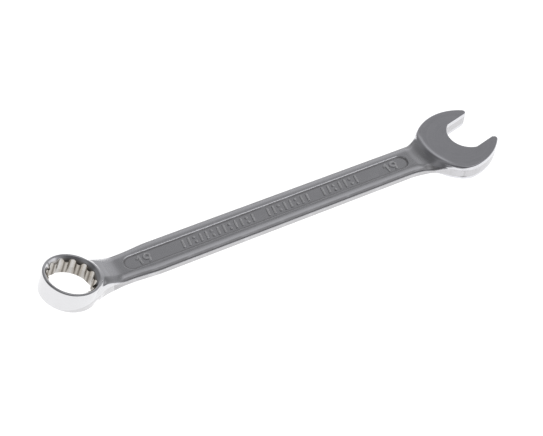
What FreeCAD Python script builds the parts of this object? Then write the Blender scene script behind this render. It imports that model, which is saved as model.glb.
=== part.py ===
import FreeCAD, Part
import math
import os

# Combination wrench for 19 mm hexagons, in millimetres.
# +X runs from the ring end to the open end and +Z is up; the wrench lies on Z = 0.
# The origin is under the middle of the bounding box.

across_flats = 19.1       # a 19 mm hexagon with working clearance
centre_distance = 205.0   # ring axis to jaw axis
ring_x = -104.61          # ring centre
shank_y = 0.225           # centre line of the shank
mid_z = 4.225             # mid-plane of the shank and of the open head

ring_radius = 13.4
ring_height = 10.6
ring_rounding = 0.8
ring_tilt = 15.0          # the ring's axis leans towards the open end
ring_rise = 4.12          # ring centre above the mid-plane
mouth_radius = 12.2       # lead-in at each face of the ring
mouth_depth = 1.3
recess_radius = 11.15     # bottom of the twelve recesses
drive_flat = 0.95         # length of each drive flat beside an inner corner

shank_half = 8.75         # at the open neck
shank_wide = 9.2          # widest, at the end of the waist
waist_half = 8.3          # the shank is a little narrower behind the ring
waist_end = 26.0
taper_end = 42.0
flare_radius = 17.0
crest_height = 2.65
crest_inset = 3.9         # side wall to the crest beside the recess
edge_profile = [(1.05, 0.0), (1.4, 0.12), (1.65, 0.4), (1.78, 0.85)]  # height, inset

ramp_sections = [(26.0, 4.2, 7.0, 2.55), (18.0, 4.7, 7.3, 4.7), (11.5, 5.4, 8.0, 5.6)]
ramp_foot = 1.5           # the upper face climbs to the ring: x, half width, foot, height

panel_start = 26.3        # recessed panels, from the ring centre
panel_end = 176.0
panel_half = 4.3
panel_depth = 0.7
panel_draft = 0.3
mark_height = 0.5
ring_mark_x = 32.6        # size marks and bars, from the ring centre
open_mark_x = 163.0
bar_groups = [(55.0, 13), (99.0, 8), (128.5, 7)]  # start, number of marks
bar_pitch = 3.0
bar_width = 1.2
bar_height = 4.6
bar_lean = 0.8
dot_radius = 0.75         # every third mark is a pair of dots
dot_offset = 1.4
ring_neck_start = 17.2    # where the forging is divided into named regions
shank_start = 25.0
shank_end = 177.5

head_height = 8.45
head_rounding = 0.8
jaw_turn = 13.5           # the jaw is turned out of the shank's line
throat_radius = 10.4
throat_u = 7.2            # centre of the throat's arc, along the jaw
jaw_reach = 25.0          # how far the jaw's gap is cut, well past both tips
jaw_chamfer = 0.25
far_tip_radius = 1.6
near_tip_radius = 1.6
far_arc = ((0.85, -5.17), 24.3)      # outer arcs, from the jaw axis
near_arc = ((-4.85, 9.22), 28.6)
near_corner_radius = 12.0
plateau = ((8.96, 2.28), 27.2)        # edge of the thick head on the neck side
far_neck_radius = 18.0
near_neck_radius = 34.0

jaw_x = centre_distance


def vector(x, y, z=0.0):
    return FreeCAD.Vector(x, y, z)


def on_circle(centre, radius, angle):
    return (centre[0] + radius * math.cos(angle), centre[1] + radius * math.sin(angle))


def bearing(start, end):
    return math.atan2(end[1] - start[1], end[0] - start[0])


def distance(start, end):
    return math.hypot(end[0] - start[0], end[1] - start[1])


def crossing(first, second, side):
    """Where two circles meet; side picks the point left (1) or right (-1) of first to second."""
    gap = distance(first[0], second[0])
    along = (gap ** 2 + first[1] ** 2 - second[1] ** 2) / (2 * gap)
    turn = math.acos(along / first[1])
    return on_circle(first[0], first[1], bearing(first[0], second[0]) + side * turn)


def moved(circle, x, y=0.0):
    return ((circle[0][0] + x, circle[0][1] + y), circle[1])


def in_jaw(u, v):
    """A point given along (u) and across (v) the jaw."""
    turn = math.radians(jaw_turn)
    x = jaw_x + u * math.cos(turn) - v * math.sin(turn)
    return (x, u * math.sin(turn) + v * math.cos(turn))


def arc_edge(centre, radius, start, end, z=0.0):
    """Arc from angle start the short way round to angle end."""
    sweep = (end - start + math.pi) % (2 * math.pi) - math.pi
    first = on_circle(centre, radius, start)
    middle = on_circle(centre, radius, start + sweep / 2)
    last = on_circle(centre, radius, start + sweep)
    return Part.Arc(vector(*first, z), vector(*middle, z), vector(*last, z)).toShape()


def joined(parts, z=0.0):
    """Closed wire through arcs and points; straight lines join what does not touch."""
    edges = []
    ends = []
    for part in parts:
        if len(part) == 2:
            ends.append((vector(*part, z), vector(*part, z), None))
        else:
            edge = arc_edge(*part, z=z)
            centre, radius, start, end = part
            first = vector(*on_circle(centre, radius, start), z)
            last = vector(*on_circle(centre, radius, end), z)
            ends.append((first, last, edge))
    for i, (first, last, edge) in enumerate(ends):
        if edge is not None:
            edges.append(edge)
        following = ends[(i + 1) % len(ends)][0]
        if last.distanceToPoint(following) > 1e-6:
            edges.append(Part.LineSegment(last, following).toShape())
    return Part.Wire(edges)


def prism(wire, bottom, top):
    face = Part.Face(wire)
    solid = face.extrude(vector(0, 0, top - bottom))
    solid.translate(vector(0, 0, bottom))
    return solid


def near_neck():
    return ((jaw_x - 32.0, -shank_half - near_neck_radius), near_neck_radius)


def near_corner():
    """Convex arc that joins the near neck's hollow to the head's outer arc."""
    hollow = near_neck()
    outer = moved(near_arc, jaw_x)
    from_hollow = (hollow[0], hollow[1] + near_corner_radius)
    from_outer = (outer[0], outer[1] - near_corner_radius)
    return (crossing(from_hollow, from_outer, -1), near_corner_radius)


def body_outline(inset, z):
    """The thin part of the wrench: shank and both necks, running on inside both heads."""
    flare_y = waist_half + flare_radius
    flare_x = math.sqrt((ring_radius + flare_radius) ** 2 - flare_y ** 2)
    far_gap = far_arc[1] + far_neck_radius
    far_drop = shank_half + far_neck_radius - far_arc[0][1]
    far_neck = (
        jaw_x + far_arc[0][0] - math.sqrt(far_gap ** 2 - far_drop ** 2),
        shank_half + far_neck_radius,
    )
    hollow = near_neck()
    corner = near_corner()
    outer = moved(far_arc, jaw_x)
    up, down = math.pi / 2, -math.pi / 2
    near_flare = (flare_x, -flare_y)
    far_flare = (flare_x, flare_y)
    to_corner = bearing(hollow[0], corner[0])
    to_neck = bearing(outer[0], far_neck)
    return joined([
        (2.0, -7.0),
        (near_flare, flare_radius + inset, bearing(near_flare, (0, 0)), up),
        (waist_end, -waist_half + inset),
        (taper_end, -shank_wide + inset),
        (hollow[0], hollow[1] + inset, up, to_corner),
        (corner[0], corner[1] - inset, to_corner + math.pi, math.radians(256)),
        (jaw_x - 4.0, -14.0),
        (jaw_x - 4.0, 13.0),
        (outer[0], outer[1] - inset, math.radians(104), to_neck),
        (far_neck, far_neck_radius + inset, to_neck - math.pi, down),
        (taper_end, shank_wide - inset),
        (waist_end, waist_half - inset),
        (far_flare, flare_radius + inset, down, bearing(far_flare, (0, 0))),
        (2.0, 7.0),
    ], z)


def body():
    """Shank and necks: upright side walls, rounded edges and bands sloping up to the crest."""
    stations = edge_profile + [(crest_height, crest_inset)]
    wires = []
    for height, inset in reversed(stations):
        wires.append(body_outline(inset, -height))
    for height, inset in stations:
        wires.append(body_outline(inset, height))
    return Part.makeLoft(wires, True, True)


def head_outline():
    """Outside of the head, with a straight line across the mouth of the jaw."""
    turn = math.radians(jaw_turn)
    near = moved(near_arc, jaw_x)
    far = moved(far_arc, jaw_x)
    corner = near_corner()
    edge = moved(plateau, jaw_x)
    near_tip = tip_centre(near, near_tip_radius, -1)
    far_tip = tip_centre(far, far_tip_radius, 1)
    neck = near_neck()
    near_cross = crossing(edge, neck, -1)
    far_cross = crossing(edge, far, -1)
    corner_end = bearing(near[0], corner[0])
    return joined([
        (neck[0], neck[1], bearing(neck[0], near_cross), bearing(neck[0], corner[0])),
        (corner[0], corner[1], bearing(corner[0], neck[0]), corner_end),
        (near[0], near[1], corner_end, bearing(near[0], near_tip)),
        (near_tip, near_tip_radius, bearing(near[0], near_tip), turn),
        (far_tip, far_tip_radius, turn, bearing(far[0], far_tip)),
        (far[0], far[1], bearing(far[0], far_tip), bearing(far[0], far_cross)),
        (edge[0], edge[1], bearing(edge[0], far_cross), math.pi),
        (edge[0], edge[1], math.pi, bearing(edge[0], near_cross)),
    ])


def jaw_gap(margin, z):
    """Two parallel flats and the throat's arc, widened by a margin."""
    half = across_flats / 2 + margin
    radius = throat_radius + margin
    reach = math.sqrt(radius ** 2 - half ** 2)
    throat = in_jaw(throat_u, 0)
    near_throat = bearing(throat, in_jaw(throat_u - reach, -half))
    back_of_throat = bearing(throat, in_jaw(0, 0))
    far_throat = bearing(throat, in_jaw(throat_u - reach, half))
    return joined([
        in_jaw(jaw_reach, -half),
        (throat, radius, near_throat, back_of_throat),
        (throat, radius, back_of_throat, far_throat),
        in_jaw(jaw_reach, half),
    ], z)


def tip_centre(outer, radius, side):
    """Centre of a jaw tip's rounding, tangent to the jaw's flat and to its outer arc."""
    turn = math.radians(jaw_turn)
    x = outer[0][0] - jaw_x
    centre_u = x * math.cos(turn) + outer[0][1] * math.sin(turn)
    centre_v = outer[0][1] * math.cos(turn) - x * math.sin(turn)
    v = side * (across_flats / 2 + radius)
    u = centre_u + math.sqrt((outer[1] - radius) ** 2 - (v - centre_v) ** 2)
    return in_jaw(u, v)


def head():
    """Thick flat head with rounded outer edges and the open jaw."""
    half = head_height / 2
    blank = prism(head_outline(), -half, half)
    edges = [edge for edge in blank.Edges if edge.BoundBox.ZLength < 0.01]
    rounded = blank.makeFillet(head_rounding, edges)
    wires = [
        jaw_gap(2 * jaw_chamfer, -half - jaw_chamfer),
        jaw_gap(0.0, -half + jaw_chamfer),
        jaw_gap(0.0, half - jaw_chamfer),
        jaw_gap(2 * jaw_chamfer, half + jaw_chamfer),
    ]
    return rounded.cut(Part.makeLoft(wires, True, True))


def tilted(shape):
    """Turns a shape built on the ring's own axis into its place on the wrench."""
    shape.rotate(vector(0, 0, 0), vector(0, 1, 0), ring_tilt)
    shape.translate(vector(0, 0, ring_rise))
    return shape


def ring_blank():
    blank = Part.makeCylinder(ring_radius, ring_height, vector(0, 0, -ring_height / 2))
    edges = []
    for edge in blank.Edges:
        if edge.BoundBox.ZLength < 0.01:
            edges.append(edge)
    return tilted(blank.makeFillet(ring_rounding, edges))


def bore():
    """Twelve-point bore: short drive flats in pairs with wide scalloped recesses between."""
    inner = across_flats / 2 / math.cos(math.radians(15))
    lean = math.radians(15)
    flat_r = math.hypot(inner + drive_flat * math.sin(lean), drive_flat * math.cos(lean))
    flat_turn = math.atan2(drive_flat * math.cos(lean), inner + drive_flat * math.sin(lean))
    edges = []
    for i in range(12):
        corner = math.radians(15 + 30 * i)
        following = corner + math.radians(30)
        before = vector(*on_circle((0, 0), flat_r, corner - flat_turn))
        peak = vector(*on_circle((0, 0), inner, corner))
        after = vector(*on_circle((0, 0), flat_r, corner + flat_turn))
        bottom = vector(*on_circle((0, 0), recess_radius, corner + math.radians(15)))
        last = vector(*on_circle((0, 0), flat_r, following - flat_turn))
        edges.append(Part.LineSegment(before, peak).toShape())
        edges.append(Part.LineSegment(peak, after).toShape())
        edges.append(Part.Arc(after, bottom, last).toShape())
    hole = prism(Part.Wire(edges), -ring_height, ring_height)
    for side in (-1, 1):
        face = side * ring_height / 2
        small = mouth_radius - 2 * mouth_depth
        cone = Part.makeCone(
            small, mouth_radius + mouth_depth, 3 * mouth_depth,
            vector(0, 0, face - side * 2 * mouth_depth), vector(0, 0, side),
        )
        hole = hole.fuse(cone)
    return tilted(hole)


def stadium(half, start, end, z):
    return joined([
        ((start + half, 0), half, math.radians(90), math.radians(180)),
        ((start + half, 0), half, math.radians(180), math.radians(270)),
        ((end - half, 0), half, math.radians(270), math.radians(360)),
        ((end - half, 0), half, math.radians(0), math.radians(90)),
    ], z)


def panel(side):
    """Long recess with drafted walls in one broad face; side is 1 above and -1 below."""
    floor = stadium(
        panel_half - panel_draft, panel_start + panel_draft, panel_end - panel_draft,
        side * (crest_height - panel_depth),
    )
    mouth = stadium(panel_half, panel_start, panel_end, side * crest_height)
    above = stadium(
        panel_half + panel_draft, panel_start - panel_draft, panel_end + panel_draft,
        side * (crest_height + panel_depth),
    )
    return Part.makeLoft([floor, mouth, above], True, True)


def ring_ramp():
    """The upper face climbing from the shank to the ring's rim."""
    wires = []
    for x, half, foot, top in ramp_sections:
        corners = [(-foot, ramp_foot), (foot, ramp_foot), (half, top), (-half, top)]
        points = [FreeCAD.Vector(x, y, z) for y, z in corners]
        wires.append(Part.makePolygon(points + points[:1]))
    return Part.makeLoft(wires, True, True)


def forging():
    """The whole steel body before it is divided into its named regions."""
    blank = body().fuse(ring_ramp())
    blank = blank.fuse(ring_blank())
    blank = blank.removeSplitter()
    whole = blank.fuse(head())
    for side in (-1, 1):
        whole = whole.cut(panel(side))
    whole = whole.cut(bore())
    return whole.removeSplitter()


def between(solid, start, end):
    box = Part.makeBox(end - start, 80, 40, vector(start, -40, -20))
    return solid.common(box)


def thick_head(solid):
    """Everything on the jaw's side of the plateau's edge."""
    centre = plateau[0]
    column = Part.makeCylinder(
        plateau[1], 40, vector(jaw_x + centre[0], centre[1], -20),
    )
    return solid.common(column), solid.cut(column)


# raised marks on the panel floors, drawn as they read from above

def one(x):
    points = [(0.0, 1.1), (1.2, 2.6), (2.3, 2.6), (2.3, -2.6), (1.2, -2.6), (1.2, 1.0), (0.5, 0.3)]
    return [joined([(x + u, v) for u, v in points])]


def nine(x):
    bowl = Part.Wire([Part.makeCircle(1.95, vector(x + 1.95, 0.65))])
    eye = Part.Wire([Part.makeCircle(0.85, vector(x + 1.95, 0.65))])
    tail = joined([(x + 2.85, 0.65), (x + 3.9, 0.65), (x + 2.9, -2.6), (x + 1.6, -2.6)])
    return [bowl, eye, tail]


def size_mark(x):
    bowl, eye, tail = nine(x + 3.3)
    digit = raised(bowl).fuse(raised(tail)).cut(raised(eye)).removeSplitter()
    return Part.makeCompound([raised(one(x)[0]), digit.Solids[0]])


def raised(wire):
    floor = crest_height - panel_depth
    return prism(wire, floor, floor + mark_height)


def slanted_bars():
    """Plain bars and pairs of dots in three groups, in place of lettering."""
    marks = []
    half = bar_height / 2
    for start, count in bar_groups:
        for i in range(count):
            x = start + i * bar_pitch
            if i % 3 == 2:
                for side in (-1, 1):
                    centre = vector(x + 1.0, side * dot_offset)
                    marks.append(raised(Part.Wire([Part.makeCircle(dot_radius, centre)])))
            else:
                marks.append(raised(joined([
                    (x, -half), (x + bar_width, -half),
                    (x + bar_width + bar_lean, half), (x + bar_lean, half),
                ])))
    return Part.makeCompound(marks)


def turned_over(shape):
    other = shape.copy()
    other.rotate(vector(0, 0, 0), vector(1, 0, 0), 180)
    return other


def nodes():
    whole = forging()
    open_head, rest = thick_head(whole)
    shapes = {
        "ring_head": between(rest, -40, ring_neck_start),
        "ring_neck": between(rest, ring_neck_start, shank_start),
        "shank": between(rest, shank_start, shank_end),
        "open_neck": between(rest, shank_end, jaw_x),
        "open_head": open_head,
    }
    marks = {
        "ring_size_mark": size_mark(ring_mark_x),
        "open_size_mark": size_mark(open_mark_x),
        "bar_pattern": slanted_bars(),
    }
    for name, shape in marks.items():
        shapes["upper_" + name] = shape
        shapes["lower_" + name] = turned_over(shape)
    return shapes


os.makedirs("parts", exist_ok=True)
for name, shape in nodes().items():
    shape.translate(vector(ring_x, shank_y, mid_z))
    shape.exportStep("parts/" + name + ".step")
    print(name, shape.isValid(), len(shape.Solids), round(shape.Volume, 1))
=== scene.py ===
import math

import bmesh
import bpy
import numpy as np
from mathutils import Matrix, Vector


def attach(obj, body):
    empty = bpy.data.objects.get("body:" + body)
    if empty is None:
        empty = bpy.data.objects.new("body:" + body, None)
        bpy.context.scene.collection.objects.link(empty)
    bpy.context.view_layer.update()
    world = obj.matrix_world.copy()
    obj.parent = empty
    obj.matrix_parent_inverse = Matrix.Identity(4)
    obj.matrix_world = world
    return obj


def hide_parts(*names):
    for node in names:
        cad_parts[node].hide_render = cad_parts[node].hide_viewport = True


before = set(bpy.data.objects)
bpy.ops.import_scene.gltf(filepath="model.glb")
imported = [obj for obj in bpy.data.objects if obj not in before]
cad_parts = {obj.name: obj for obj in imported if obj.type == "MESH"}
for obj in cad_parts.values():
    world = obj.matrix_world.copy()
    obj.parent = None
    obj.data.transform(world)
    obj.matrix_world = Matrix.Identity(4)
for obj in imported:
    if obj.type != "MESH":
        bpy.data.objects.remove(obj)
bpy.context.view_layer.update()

print("frame loaded")

# Lengths in these dictionaries are in millimetres. Shapes are worked out about the ring's
# centre line, with the shank's mid-plane at height 0, and moved to the frame at the end.

place = {"x": -104.61, "y": 0.225, "z": 4.225}

ring = {
    "radius": 13.4, "height": 10.6, "rounding": 0.75, "tilt": 15.0, "rise": 4.12,
    "acrossFlats": 19.1, "mouth": 12.2, "scallopRadius": 1.9, "scallopAt": 9.25,
    "blend": 3.0, "underBlend": 1.0, "rimBlend": 1.3,
    "points": 12, "scallopSoftness": 0.15, "mouthSoftness": 0.25, "boreSoftness": 0.2,
    "upper": (-3.0, 0.5), "nearRim": (2.0, 4.8),
}

shank = {
    "half": 8.75, "wide": 9.2, "waist": 8.3, "taperTo": 168.0, "waistEnd": 26.0, "taperEnd": 42.0,
    "crest": 2.65, "bandInset": 0.85, "bandWidth": 3.05, "bandSlope": 0.12,
    "crown": 0.054, "edgeSoftness": 0.9, "crestRounding": 0.5, "flare": 17.0,
    "ringRise": 3.1, "ringRiseUnder": 1.3, "ringRiseFrom": 24.0, "ringRiseTo": 12.5,
    "headRise": 1.5, "headRiseReach": 9.0, "dish": 0.5,
    "endAt": 10.0, "endSlope": 0.7, "bottomSoftness": 0.2,
}

panel = {
    "start": 26.3, "end": 176.0, "half": 4.3, "depth": 0.7,
    "draft": 0.57, "floorSoftness": 0.25, "rimSoftness": 0.15,
}

head = {
    "distance": 205.0, "thickness": 8.45, "rounding": 0.8, "turn": 13.5,
    "throat": 10.4, "throatAt": 7.2, "farTip": 1.6, "nearTip": 1.6,
    "farArc": (0.85, -5.17, 24.3), "nearArc": (-4.85, 9.22, 28.6),
    "plateau": (8.96, 2.28, 27.2), "nearCorner": 12.0,
    "farHollow": 18.0, "nearHollow": 34.0, "nearHollowAt": -32.0,
    "blend": 1.8, "jawSoftness": 0.3, "cornerSoftness": 2.0, "onTop": (1.4, 2.8),
    "tuck": 2.0, "tuckReach": 5.0, "sink": 1.5, "sinkReach": 3.0,
}

# how far over the panel floors beside their walls painted shade reaches, and how strongly
panelWallShade = {"floor": (0.25, 0.1), "besideWall": (1.5, 0.7), "amount": 2.2}


def softMin(a, b, k):
    h = np.maximum(k - np.abs(a - b), 0) / np.maximum(k, 1e-6)
    return np.minimum(a, b) - h * h * k / 4


def softMax(a, b, k):
    return -softMin(-a, -b, k)


def smooth(low, high, value):
    t = np.clip((value - low) / (high - low), 0, 1)
    return t * t * (3 - 2 * t)


def circlesMeet(x1, y1, r1, x2, y2, r2, side):
    gap = math.hypot(x2 - x1, y2 - y1)
    along = (gap ** 2 + r1 ** 2 - r2 ** 2) / (2 * gap)
    angle = math.atan2(y2 - y1, x2 - x1) + side * math.acos(along / r1)
    return x1 + r1 * math.cos(angle), y1 + r1 * math.sin(angle)


def leftOf(ax, ay, bx, by, x, y):
    return (bx - ax) * (y - ay) - (by - ay) * (x - ax) > 0


# distance to each side of the plan outline, positive outside

def farSide(x, y):
    cx, cy, cr = head["farArc"]
    cx = cx + head["distance"]
    r = head["farHollow"]
    hy = shank["half"] + r
    hx = cx - math.sqrt((cr + r) ** 2 - (hy - cy) ** 2)
    straight = y - sideWidth(x)
    hollow = r - np.hypot(x - hx, y - hy)
    outer = np.hypot(x - cx, y - cy) - cr
    result = np.where(x < hx, straight, hollow)
    return np.where(leftOf(cx, cy, hx, hy, x, y) | (x < hx), result, outer)


def nearSide(x, y):
    cx, cy, cr = head["nearArc"]
    cx = cx + head["distance"]
    r = head["nearHollow"]
    k = head["nearCorner"]
    hx = head["distance"] + head["nearHollowAt"]
    hy = -shank["half"] - r
    kx, ky = circlesMeet(hx, hy, r + k, cx, cy, cr - k, -1)
    straight = -y - sideWidth(x)
    hollow = r - np.hypot(x - hx, y - hy)
    corner = np.hypot(x - kx, y - ky) - k
    outer = np.hypot(x - cx, y - cy) - cr
    result = np.where(leftOf(cx, cy, kx, ky, x, y), outer, corner)
    result = np.where(leftOf(hx, hy, kx, ky, x, y), hollow, result)
    return np.where(x < hx, straight, result)


def sideWidth(x):
    grow = smooth(shank["waistEnd"], shank["taperEnd"], x)
    along = np.clip((x - shank["taperEnd"]) / (shank["taperTo"] - shank["taperEnd"]), 0, 1)
    wide = shank["wide"] + (shank["half"] - shank["wide"]) * along
    return shank["waist"] + (wide - shank["waist"]) * grow


def flareSide(x, y):
    # hollow from the waist to the ring's wall, the same on both sides
    r = shank["flare"]
    fy = shank["waist"] + r
    fx = math.sqrt((ring["radius"] + r) ** 2 - fy ** 2)
    y = np.abs(y)
    hollow = r - np.hypot(x - fx, y - fy)
    wall = np.hypot(x, y) - ring["radius"]
    return fx, np.where(leftOf(0, 0, fx, fy, x, y), wall, hollow)


def bodyField(x, y, z):
    plan = np.maximum(farSide(x, y), nearSide(x, y))
    fx, flare = flareSide(x, y)
    plan = np.where(x < fx, flare, plan)
    # the body ends inside the ring's wall
    plan = plan + np.maximum(shank["endAt"] - x, 0) * shank["endSlope"]
    px, py, pr = head["plateau"]
    inside = pr - np.hypot(x - px - head["distance"], y - py)
    # under the head's plateau the body draws in and sinks
    wall = plan + smooth(0, head["tuckReach"], inside) * head["tuck"]
    # both faces climb to the ring's rims and to the head's plateau
    toRing = smooth(shank["ringRiseFrom"], shank["ringRiseTo"], x)
    rise = np.where(z > 0, shank["ringRise"], shank["ringRiseUnder"]) * toRing
    outside = np.maximum(-inside, 0) / shank["headRiseReach"]
    near = np.clip(1 - outside, 0, 1)
    rise = rise + shank["headRise"] * near ** 3 - shank["dish"] * np.sin(np.pi * near) ** 2
    height = np.abs(z) - rise + smooth(0, head["sinkReach"], inside) * head["sink"]
    # a crowned band falls away from the crest on each side
    down = shank["bandWidth"] + wall + shank["bandInset"]
    down = (down + np.hypot(down, shank["crestRounding"])) / 2
    fall = shank["bandSlope"] * down + shank["crown"] * down ** 2
    lean = 1 / np.hypot(1, shank["bandSlope"] + 2 * shank["crown"] * down)
    return softMax(wall, (height - shank["crest"] + fall) * lean, shank["edgeSoftness"])


def jawFrame(x, y):
    turn = math.radians(head["turn"])
    x = x - head["distance"]
    return x * math.cos(turn) + y * math.sin(turn), y * math.cos(turn) - x * math.sin(turn)


def tipDistance(outer, u, v, arc, radius, side):
    # rounds the end of a jaw with a circle that touches its flat and its outer arc
    au, av = jawFrame(np.float64(arc[0] + head["distance"]), np.float64(arc[1]))
    tv = side * (ring["acrossFlats"] / 2 + radius)
    tu = au + math.sqrt((arc[2] - radius) ** 2 - (tv - av) ** 2)
    beyond = leftOf(au, av, tu, tv, u, v)
    beyond = ~beyond if side > 0 else beyond
    tip = np.hypot(u - tu, v - tv) - radius
    return np.where(beyond & (u > tu) & (side * v > 0), tip, outer)


def gapField(u, v):
    flats = np.abs(v) - ring["acrossFlats"] / 2
    throat = np.hypot(u - head["throatAt"], v) - head["throat"]
    return np.where(u < head["throatAt"], np.maximum(flats, throat), flats)


def headField(x, y, z):
    u, v = jawFrame(x, y)
    far = tipDistance(farSide(x, y), u, v, head["farArc"], head["farTip"], 1)
    near = tipDistance(nearSide(x, y), u, v, head["nearArc"], head["nearTip"], -1)
    px, py, pr = head["plateau"]
    edge = np.hypot(x - px - head["distance"], y - py) - pr
    plan = softMax(np.maximum(far, near), edge, head["cornerSoftness"])
    r = head["rounding"]
    a = plan + r
    b = np.abs(z) - head["thickness"] / 2 + r
    solid = np.minimum(np.maximum(a, b), 0) + np.hypot(np.maximum(a, 0), np.maximum(b, 0)) - r
    return solid, gapField(u, v)


def ringField(x, y, z):
    tilt = math.radians(ring["tilt"])
    dz = z - ring["rise"]
    u = x * math.cos(tilt) - dz * math.sin(tilt)
    h = np.abs(x * math.sin(tilt) + dz * math.cos(tilt))
    r = np.hypot(u, y)
    a = r - ring["radius"] + ring["rounding"]
    b = h - ring["height"] / 2 + ring["rounding"]
    solid = np.minimum(np.maximum(a, b), 0) + np.hypot(np.maximum(a, 0), np.maximum(b, 0))
    solid = solid - ring["rounding"]
    # twelve corners, each folded onto one pair of drive flats
    step = 2 * math.pi / ring["points"]
    lean = step / 2
    angle = np.abs((np.arctan2(y, u) % step) - lean)
    fu, fv = r * np.cos(angle), r * np.sin(angle)
    corner = ring["acrossFlats"] / 2 / math.cos(lean)
    flats = (fu - corner) * math.cos(lean) - fv * math.sin(lean)
    sx, sy = ring["scallopAt"] * math.cos(lean), ring["scallopAt"] * math.sin(lean)
    scallop = np.hypot(fu - sx, fv - sy) - ring["scallopRadius"]
    hole = softMin(flats, scallop, ring["scallopSoftness"])
    mouth = (r - ring["mouth"] + ring["height"] / 2 - h) * math.sqrt(0.5)
    return solid, softMin(hole, mouth, ring["mouthSoftness"])


def panelField(x, y, z):
    inner = np.clip(x, panel["start"] + panel["half"], panel["end"] - panel["half"])
    plan = np.hypot(x - inner, y) - panel["half"]
    below = shank["crest"] - np.abs(z)
    wall = (plan + below * panel["draft"]) / math.hypot(1, panel["draft"])
    return softMax(wall, below - panel["depth"], panel["floorSoftness"])


def shadeBesidePanelWall(x, y, z):
    # 1 on a panel's floor close to its wall, 0 elsewhere; there the floor gets painted shade
    inner = np.clip(x, panel["start"] + panel["half"], panel["end"] - panel["half"])
    plan = panel["half"] - np.hypot(x - inner, y)
    below = shank["crest"] - np.abs(z)
    low, high = panelWallShade["floor"]
    onFloor = smooth(panel["depth"] - low, panel["depth"] - high, below)
    return onFloor * smooth(*panelWallShade["besideWall"], plan)


def forgingField(x, y, z):
    body = bodyField(x, y, z)
    ringSolid, bore = ringField(x, y, z)
    headSolid, gap = headField(x, y, z)
    upper = smooth(*ring["upper"], z)
    atRim = smooth(*ring["nearRim"], z)
    k = ring["underBlend"] + ring["blend"] * upper
    result = softMin(body, ringSolid, k + (ring["rimBlend"] - k) * atRim)
    onTop = smooth(*head["onTop"], np.abs(z))
    result = softMin(result, headSolid, head["blend"] * onTop)
    result = softMax(result, -panelField(x, y, z), panel["rimSoftness"])
    result = softMax(result, -bore, ring["boreSoftness"])
    result = softMax(result, -z - place["z"], shank["bottomSoftness"])
    return softMax(result, -gap, head["jawSoftness"])


# closed quad surface where a field passes through zero

def fieldSurface(field, low, high, step):
    axes = [np.arange(a, b + step, step) for a, b in zip(low, high)]
    x, y, z = np.meshgrid(*axes, indexing="ij", sparse=True)
    value = field(x, y, z)
    inside = value < 0
    shape = np.array(value.shape) - 1
    total = np.zeros(tuple(shape) + (3,))
    count = np.zeros(tuple(shape))
    quads = []
    crossings = []
    for axis in range(3):
        here = [slice(None)] * 3
        there = [slice(None)] * 3
        here[axis] = slice(0, -1)
        there[axis] = slice(1, None)
        a, b = value[tuple(here)], value[tuple(there)]
        where = np.argwhere((a < 0) != (b < 0))
        av = a[tuple(where.T)]
        bv = b[tuple(where.T)]
        at = where.astype(float)
        at[:, axis] += av / (av - bv)
        crossings.append((axis, where, av < 0))
        others = [i for i in range(3) if i != axis]
        for du in (0, 1):
            for dv in (0, 1):
                cell = where.copy()
                cell[:, others[0]] -= du
                cell[:, others[1]] -= dv
                np.add.at(total, tuple(cell.T), at)
                np.add.at(count, tuple(cell.T), 1)
    cells = np.argwhere(count > 0)
    cellId = np.full(tuple(shape), -1)
    cellId[tuple(cells.T)] = np.arange(len(cells))
    points = total[tuple(cells.T)] / count[tuple(cells.T)][:, None]
    points = np.array(low) + points * step
    for axis, where, outward in crossings:
        u, v = [(1, 2), (2, 0), (0, 1)][axis]
        corners = []
        for du, dv in ((0, 0), (1, 0), (1, 1), (0, 1)):
            cell = where.copy()
            cell[:, u] -= du
            cell[:, v] -= dv
            corners.append(cellId[tuple(cell.T)])
        quad = np.stack(corners, axis=1)
        quad[~outward] = quad[~outward][:, ::-1]
        quads.append(quad)
    return points, np.concatenate(quads), cells


def slope(field, points, step=0.03):
    result = np.zeros_like(points)
    for axis in range(3):
        offset = np.zeros(3)
        offset[axis] = step
        ahead = points + offset
        behind = points - offset
        result[:, axis] = (field(*ahead.T) - field(*behind.T)) / (2 * step)
    return result


def curvature(field, points, step=0.3):
    # above zero on edges, below zero in hollows, per millimetre
    total = -6 * field(*points.T)
    for axis in range(3):
        offset = np.zeros(3)
        offset[axis] = step
        total = total + field(*(points + offset).T) + field(*(points - offset).T)
    return total / step ** 2


# one surface for the whole forging, parted into its named regions

forging = {
    "low": (-16.0, -20.6, -5.2), "high": (225.0, 20.2, 14.0), "step": 0.3,
    "passes": 4, "leastSlope": 0.05, "longestMove": 0.3,
    "parts": [
        ("ringHead", "ring_head", 17.4),
        ("ringNeck", "ring_neck", 25.0),
        ("shankBeam", "shank", 177.6),
        ("openNeck", "open_neck", 185.5),
        ("openHead", "open_head", None),
    ],
}


def buildForging():
    step = forging["step"]
    points, quads, cells = fieldSurface(forgingField, forging["low"], forging["high"], step)
    layer = cells[:, 0]
    held = np.zeros(len(points), bool)
    cuts = []
    for _, _, end in forging["parts"][:-1]:
        index = int((end - forging["low"][0]) / step)
        onCut = layer == index
        points[onCut, 0] = forging["low"][0] + (index + 0.5) * step
        held |= onCut
        cuts.append(index)
    # settle the points onto the field's zero
    for _ in range(forging["passes"]):
        grad = slope(forgingField, points)
        grad[held, 0] = 0
        size = np.maximum((grad ** 2).sum(axis=1), forging["leastSlope"])
        longest = forging["longestMove"]
        move = np.clip(forgingField(*points.T) / size, -longest, longest)
        points = points - move[:, None] * grad
    normals = slope(forgingField, points)
    normals /= np.linalg.norm(normals, axis=1)[:, None]
    ridge = curvature(forgingField, points)
    # the panel floors beside their walls count as hollows, so they get painted shade
    ridge = ridge - panelWallShade["amount"] * shadeBesidePanelWall(*points.T)
    edges = [-1] + cuts + [10 ** 6]
    lowest = layer[quads].min(axis=1)
    highest = layer[quads].max(axis=1)
    pieces = {}
    for i, (name, node, _) in enumerate(forging["parts"]):
        mine = quads[(lowest >= edges[i]) & (highest <= edges[i + 1])]
        pieces[name] = regionPiece(name, node, points, normals, ridge, mine)
        print("forging region", name, len(mine), "faces")
    return pieces


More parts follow.
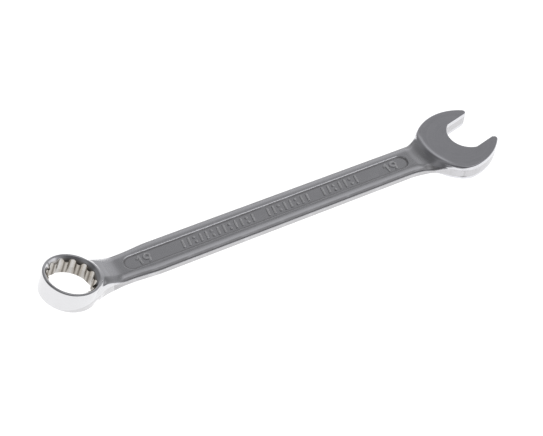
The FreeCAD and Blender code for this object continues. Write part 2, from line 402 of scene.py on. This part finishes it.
def regionPiece(name, node, points, normals, ridge, quads):
    used, index = np.unique(quads, return_inverse=True)
    where = (points[used] + [place["x"], place["y"], place["z"]]) / 1000
    mesh = bpy.data.meshes.new(name)
    mesh.from_pydata(where.tolist(), [], index.reshape(quads.shape).tolist())
    sides = len(quads)
    bm = bmesh.new()
    bm.from_mesh(mesh)
    rims = [edge for edge in bm.edges if edge.is_boundary]
    bmesh.ops.holes_fill(bm, edges=rims, sides=0)
    bm.to_mesh(mesh)
    bm.free()
    mesh.shade_smooth()
    vertexNormals = normals[used]
    loops = []
    for face in mesh.polygons:
        flat = face.index >= sides
        for vertex in face.vertices:
            loops.append(tuple(face.normal) if flat else tuple(vertexNormals[vertex]))
    mesh.normals_split_custom_set(loops)
    tone = mesh.attributes.new("ridge", "FLOAT", "POINT")
    tone.data.foreach_set("value", ridge[used])
    piece = bpy.data.objects.new(name, mesh)
    bpy.context.scene.collection.objects.link(piece)
    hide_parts(node)
    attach(piece, "root")
    return piece


pieces = buildForging()


# materials

class Wire:
    def __init__(self, nodes, socket):
        self.nodes = nodes
        self.socket = socket

    def math(self, operation, a, b):
        return self.nodes.add("ShaderNodeMath", {"operation": operation}, {0: a, 1: b})[0]

    def __add__(self, other):
        return self.math("ADD", self, other)

    def __radd__(self, other):
        return self.math("ADD", other, self)

    def __sub__(self, other):
        return self.math("SUBTRACT", self, other)

    def __mul__(self, other):
        return self.math("MULTIPLY", self, other)

    def __rmul__(self, other):
        return self.math("MULTIPLY", other, self)


class Outputs:
    def __init__(self, nodes, node):
        self.nodes = nodes
        self.node = node

    def __getitem__(self, name):
        return Wire(self.nodes, self.node.outputs[name])


class Recipe:
    def __init__(self, name, tree=None):
        self.tree = tree
        if tree is None:
            self.material = bpy.data.materials.new(name)
            self.material.use_nodes = True
            self.tree = self.material.node_tree
            self.tree.nodes.clear()

    def add(self, kind, settings=None, values=None):
        node = self.tree.nodes.new(kind)
        for key, setting in (settings or {}).items():
            setattr(node, key, setting)
        for key, value in (values or {}).items():
            if isinstance(value, Wire):
                self.tree.links.new(value.socket, node.inputs[key])
            else:
                node.inputs[key].default_value = value
        return Outputs(self, node)

    def between(self, low, high, value):
        settings = {"clamp": True}
        return self.add("ShaderNodeMapRange", settings, {0: value, 1: low, 2: high})[0]

    def blend(self, factor, first, second):
        settings = {"data_type": "RGBA"}
        mixed = self.add("ShaderNodeMix", settings, {0: factor, 6: first, 7: second})
        return Wire(self, mixed.node.outputs[2])

    def noise(self, where, scale, detail=2.0, roughness=0.5):
        values = {"Vector": where, "Scale": scale, "Detail": detail, "Roughness": roughness}
        return self.add("ShaderNodeTexNoise", None, values)["Fac"]

    def stretched(self, where, amounts):
        return self.add("ShaderNodeVectorMath", {"operation": "MULTIPLY"}, {0: where, 1: amounts})[0]

    def finish(self, shader):
        self.add("ShaderNodeOutputMaterial", None, {"Surface": shader})
        return self.material


# The dark third colour of each finish, with its amount, is painted shade for hollows and creases.
satinChrome = {
    "color": (0.70, 0.70, 0.715, 1), "dull": (0.59, 0.59, 0.605, 1),
    "grime": (0.20, 0.19, 0.185, 1), "grimeAmount": 0.55, "wear": 0.5,
    "roughness": 0.26, "roughnessChange": 0.10,
    "grain": 2400.0, "grainHeight": 0.12, "grainTone": 0.30, "mottle": 160.0,
}

headChrome = {
    "color": (0.69, 0.69, 0.715, 1), "dull": (0.61, 0.61, 0.635, 1),
    "grime": (0.20, 0.185, 0.17, 1), "grimeAmount": 0.35, "wear": 0.5,
    "roughness": 0.20, "roughnessChange": 0.06,
    "grain": 3000.0, "grainHeight": 0.05, "grainTone": 0.12, "mottle": 110.0,
}

ringChrome = {
    "color": (0.71, 0.71, 0.725, 1), "dull": (0.64, 0.64, 0.65, 1),
    "grime": (0.09, 0.075, 0.06, 1), "grimeAmount": 0.2, "wear": 0.5,
    "roughness": 0.13, "roughnessChange": 0.05,
    "grain": 3000.0, "grainHeight": 0.03, "grainTone": 0.08, "mottle": 130.0,
    "bore": (0.31, 0.275, 0.225, 1), "boreRadius": 11.5, "boreMottle": 0.9,
}

markChrome = {
    "color": (0.98, 0.98, 0.98, 1), "dull": (0.62, 0.62, 0.63, 1),
    "grime": (0.3, 0.3, 0.3, 1), "grimeAmount": 0.0, "wear": 0.0,
    "roughness": 0.42, "roughnessChange": 0.12,
    "grain": 1500.0, "grainHeight": 0.15, "grainTone": 0.6, "mottle": 400.0,
}

grinding = {
    "lines": 1.0, "tone": 2.24, "centre": (0.10039, 0.00023, 0.0),
    "spacing": 1800.0, "waver": 1.5,
}

# lengths in this dictionary are in metres
plating = {
    "worn": (0.5, 2.0), "sunk": (-0.6, -2.6), "grimePatches": (0.2, 0.5),
    "mottleTone": 0.9, "grainGain": 3, "lineStretch": (150.0, 2600.0, 2600.0),
    "boreEdge": 0.0006, "borePatches": 0.75, "seam": 0.75,
    "seamStart": (0.00995, 0.01015), "seamEnd": (0.0107, 0.0104),
    "lineRoughness": 0.08, "grimeRoughness": 0.15, "wornShine": 0.05,
    "bumpDistance": 0.00008, "lineHeight": 0.4,
}


def distanceFromAxis(r, where, centre, lean):
    # metres from an axis through centre that leans towards +X
    offset = r.add("ShaderNodeVectorMath", {"operation": "SUBTRACT"}, {0: where, 1: centre})[0]
    axis = (math.sin(lean), 0.0, math.cos(lean))
    cross = r.add("ShaderNodeVectorMath", {"operation": "CROSS_PRODUCT"}, {0: offset, 1: axis})[0]
    return r.add("ShaderNodeVectorMath", {"operation": "LENGTH"}, {0: cross})["Value"]


def chromeMaterial(name, values, arcs=False):
    r = Recipe(name)
    where = r.add("ShaderNodeTexCoord")["Object"]
    grain = r.noise(where, values["grain"], 3.0, 0.65)
    mottle = r.noise(where, values["mottle"], 4.0, 0.6)
    lines = r.noise(r.stretched(where, plating["lineStretch"]), 1.0, 2.0)
    ridge = r.add("ShaderNodeAttribute", {"attribute_name": "ridge"})["Fac"]
    worn = r.between(*plating["worn"], ridge)
    sunk = r.between(*plating["sunk"], ridge)
    tone = (
        0.5 + plating["mottleTone"] * (mottle - 0.5)
        + values["grainTone"] * plating["grainGain"] * (grain - 0.5)
        + values["wear"] * worn
    )
    if arcs:
        # faint arcs left by the grinding wheel round the jaw
        reach = distanceFromAxis(r, where, grinding["centre"], 0.0)
        spread = {0: reach * grinding["spacing"], 1: mottle * grinding["waver"]}
        unrolled = r.add("ShaderNodeCombineXYZ", None, spread)[0]
        arcLine = r.noise(unrolled, grinding["lines"], 3.0, 0.7)
        tone = tone + grinding["tone"] * (arcLine - 0.5)
        lines = arcLine
    tone = r.between(0.0, 1.0, tone)
    color = r.blend(tone, values["dull"], values["color"])
    if "bore" in values:
        centre = (place["x"] / 1000, place["y"] / 1000, (place["z"] + ring["rise"]) / 1000)
        reach = distanceFromAxis(r, where, centre, math.radians(ring["tilt"]))
        edge = values["boreRadius"] / 1000
        inBore = r.between(edge, edge - plating["boreEdge"], reach)
        patchy = plating["borePatches"] + values["boreMottle"] * (mottle - 0.5)
        color = r.blend(inBore * patchy, color, values["bore"])
        # painted shade: dark lines in the creases where the drive flats meet the recesses
        seam = r.between(*plating["seamStart"], reach) * r.between(*plating["seamEnd"], reach)
        color = r.blend(seam * plating["seam"], color, values["grime"])
    # painted shade: the colour darkens in hollows and beside the panel walls, in patches, and is a
    # little rougher there
    grime = values["grimeAmount"] * sunk * r.between(*plating["grimePatches"], mottle)
    color = r.blend(grime, color, values["grime"])
    rough = (
        values["roughness"]
        + values["roughnessChange"] * (mottle - 0.5) * 2
        + plating["lineRoughness"] * (lines - 0.5)
        + plating["grimeRoughness"] * grime
        - plating["wornShine"] * worn
    )
    bump = r.add("ShaderNodeBump", None, {
        "Strength": values["grainHeight"], "Distance": plating["bumpDistance"],
        "Height": grain + lines * plating["lineHeight"],
    })["Normal"]
    shader = r.add("ShaderNodeBsdfPrincipled", None, {
        "Base Color": color, "Metallic": 1.0, "Roughness": rough, "Normal": bump,
    })["BSDF"]
    return r.finish(shader)


satin = chromeMaterial("satinChrome", satinChrome)
ground = chromeMaterial("headChrome", headChrome, arcs=True)
polished = chromeMaterial("ringChrome", ringChrome)
rubbed = chromeMaterial("markChrome", markChrome)
finishes = {"ringHead": polished, "openHead": ground}
for name, piece in pieces.items():
    piece.data.materials.append(finishes.get(name, satin))


# raised marks on both panel floors

marks = {
    "height": 0.5, "thickness": 0.84, "bevel": 0.36,
    "digitHalf": 2.6, "ringMark": 32.6, "openMark": 163.0,
    "bowlAt": (5.25, 0.65), "bowl": 1.95, "eye": 0.85,
    "bars": [(55.0, 13), (99.0, 8), (128.5, 7)], "pitch": 3.0, "barWidth": 1.2,
    "barHalf": 2.3, "barLean": 0.8, "dot": 0.75, "dotAt": 1.4, "dotShift": 1.0,
}


def arcPoints(x, y, radius, start, end, count):
    angles = np.radians(np.linspace(start, end, count))
    return [(x + radius * math.cos(a), y + radius * math.sin(a)) for a in angles]


def sizeMark(x):
    half = marks["digitHalf"]
    one = [(0.0, 1.1), (1.2, half), (2.3, half), (2.3, -half), (1.2, -half), (1.2, 1.0), (0.5, 0.3)]
    nine = arcPoints(*marks["bowlAt"], marks["bowl"], 0, 274.4, 34)
    nine += [(4.9, -half), (6.2, -half)]
    eye = arcPoints(*marks["bowlAt"], marks["eye"], 0, 345, 24)
    return [[(x + u, v) for u, v in outline] for outline in (one, nine, eye)]


def barPattern():
    outlines = []
    half, lean, width = marks["barHalf"], marks["barLean"], marks["barWidth"]
    for start, count in marks["bars"]:
        for i in range(count):
            x = start + i * marks["pitch"]
            # every third place holds a pair of dots
            if i % 3 == 2:
                for side in (-1, 1):
                    y = side * marks["dotAt"]
                    middle = x + marks["dotShift"]
                    outlines.append(arcPoints(middle, y, marks["dot"], 0, 345, 24))
            else:
                outlines.append([
                    (x, -half), (x + width, -half), (x + width + lean, half), (x + lean, half),
                ])
    return outlines


def markPiece(name, node, outlines, side):
    curve = bpy.data.curves.new(name, "CURVE")
    curve.dimensions = "2D"
    curve.fill_mode = "BOTH"
    curve.extrude = (marks["thickness"] / 2 - marks["bevel"]) / 1000
    curve.bevel_depth = marks["bevel"] / 1000
    curve.bevel_resolution = 3
    curve.offset = -marks["bevel"] / 1000
    for outline in outlines:
        spline = curve.splines.new("POLY")
        spline.points.add(len(outline) - 1)
        for point, (x, y) in zip(spline.points, outline):
            point.co = (x / 1000, y / 1000, 0, 1)
        spline.use_cyclic_u = True
    carrier = bpy.data.objects.new(name + "Curve", curve)
    bpy.context.scene.collection.objects.link(carrier)
    graph = bpy.context.evaluated_depsgraph_get()
    mesh = bpy.data.meshes.new_from_object(carrier.evaluated_get(graph))
    bpy.data.objects.remove(carrier)
    middle = shank["crest"] - panel["depth"] + marks["height"] - marks["thickness"] / 2
    rows = Matrix.Translation([place[key] / 1000 for key in ("x", "y", "z")])
    if side < 0:
        rows = rows @ Matrix.Rotation(math.pi, 4, "X")
    mesh.transform(rows @ Matrix.Translation((0, 0, middle / 1000)))
    bm = bmesh.new()
    bm.from_mesh(mesh)
    bmesh.ops.remove_doubles(bm, verts=bm.verts, dist=0.000001)
    bm.to_mesh(mesh)
    bm.free()
    mesh.materials.clear()
    mesh.materials.append(rubbed)
    mesh.shade_smooth()
    piece = bpy.data.objects.new(name, mesh)
    bpy.context.scene.collection.objects.link(piece)
    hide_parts(node)
    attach(piece, "root")
    return piece


for word, side in (("upper", 1), ("lower", -1)):
    markPiece(word + "RingSize", word + "_ring_size_mark", sizeMark(marks["ringMark"]), side)
    markPiece(word + "OpenSize", word + "_open_size_mark", sizeMark(marks["openMark"]), side)
    markPiece(word + "Bars", word + "_bar_pattern", barPattern(), side)
print("marks made")


# camera, floor and light

camera = {
    "from": (-0.31126, -0.45637, 0.59021), "forward": (0.38273, 0.56603, -0.73015),
    "roll": 5.6908, "lens": 116.18,
}

studio = {
    "floorSize": 6.0, "floorGlow": 1.12, "front": (-0.1, -0.995, 0.0),
    "base": 0.315, "overhead": 0.38, "dip": 0.09, "horizon": 0.20, "frontHorizon": 0.65,
    "shade": 0.18, "sideShade": 0.09, "overheadAt": (0.383, 0.0, 0.924),
}

# ranges of direction over which each part of the sky fades in
fade = {
    "lowFront": (-0.1, 0.5), "lowAcross": (-0.4, 0.2), "overhead": (0.93, 0.995),
    "dip": (0.56, 0.42), "dipFront": (-0.3, 0.1),
    "horizon": (0.66, 0.42), "horizonAcross": (-0.1, 0.3), "frontHorizon": (0.32, 0.24),
    "shadeFront": (0.15, 0.5), "shadeUp": (0.27, 0.4),
    "sideAcross": (0.3, -0.05), "sideAway": (-0.1, 0.3),
}


def placeCamera():
    data = bpy.data.cameras.new("camera")
    data.lens = camera["lens"]
    data.clip_start = 0.01
    eye = bpy.data.objects.new("camera", data)
    forward = Vector(camera["forward"]).normalized()
    turn = forward.to_track_quat("-Z", "Y").to_matrix().to_4x4()
    roll = Matrix.Rotation(math.radians(camera["roll"]), 4, "Z")
    eye.matrix_world = Matrix.Translation(camera["from"]) @ turn @ roll
    bpy.context.scene.collection.objects.link(eye)
    bpy.context.scene.camera = eye


def buildFloor():
    bm = bmesh.new()
    half = studio["floorSize"] / 2
    corners = [(-half, -half), (half, -half), (half, half), (-half, half)]
    bm.faces.new([bm.verts.new((x, y, 0)) for x, y in corners])
    mesh = bpy.data.meshes.new("floor")
    bm.to_mesh(mesh)
    bm.free()
    floor = bpy.data.objects.new("floor", mesh)
    bpy.context.scene.collection.objects.link(floor)
    r = Recipe("paleFloor")
    where = r.add("ShaderNodeTexCoord")["Object"]
    shade = r.noise(where, 3.0, 2.0) * 0.02 + 0.98
    color = r.add("ShaderNodeCombineColor", None, {0: shade, 1: shade, 2: shade})[0]
    shader = r.add("ShaderNodeBsdfPrincipled", None, {
        "Base Color": (0.35, 0.35, 0.35, 1), "Roughness": 0.9,
        "Emission Color": color, "Emission Strength": studio["floorGlow"],
    })["BSDF"]
    mesh.materials.append(r.finish(shader))


def buildSky():
    world = bpy.data.worlds.new("studio")
    world.use_nodes = True
    world.node_tree.nodes.clear()
    r = Recipe("sky", world.node_tree)
    where = r.add("ShaderNodeTexCoord")["Generated"]
    split = r.add("ShaderNodeSeparateXYZ", None, {0: where})
    across, away, up = split["X"], split["Y"], split["Z"]
    facing = {"operation": "DOT_PRODUCT"}
    front = r.add("ShaderNodeVectorMath", facing, {0: where, 1: studio["front"]})["Value"]
    box = r.add("ShaderNodeVectorMath", facing, {0: where, 1: studio["overheadAt"]})["Value"]
    low = r.between(*fade["lowFront"], front) * r.between(*fade["lowAcross"], across)
    dip = r.between(*fade["dip"], away) * r.between(*fade["dipFront"], away)
    horizon = r.between(*fade["horizon"], up) * r.between(*fade["horizonAcross"], across)
    shade = r.between(*fade["shadeFront"], front) * r.between(*fade["shadeUp"], up)
    side = r.between(*fade["sideAcross"], across) * r.between(*fade["sideAway"], away)
    light = (
        studio["base"]
        + studio["overhead"] * r.between(*fade["overhead"], box)
        - studio["dip"] * dip
        + studio["horizon"] * horizon
        + studio["frontHorizon"] * (r.between(*fade["frontHorizon"], up) * low)
        - studio["shade"] * shade
        - studio["sideShade"] * side
    )
    color = r.add("ShaderNodeCombineColor", None, {0: light, 1: light, 2: light * 1.03})[0]
    glow = r.add("ShaderNodeBackground", None, {"Color": color})[0]
    r.add("ShaderNodeOutputWorld", None, {"Surface": glow})
    bpy.context.scene.world = world


placeCamera()
buildFloor()
buildSky()
bpy.context.scene.view_settings.view_transform = "Standard"
print("studio made")
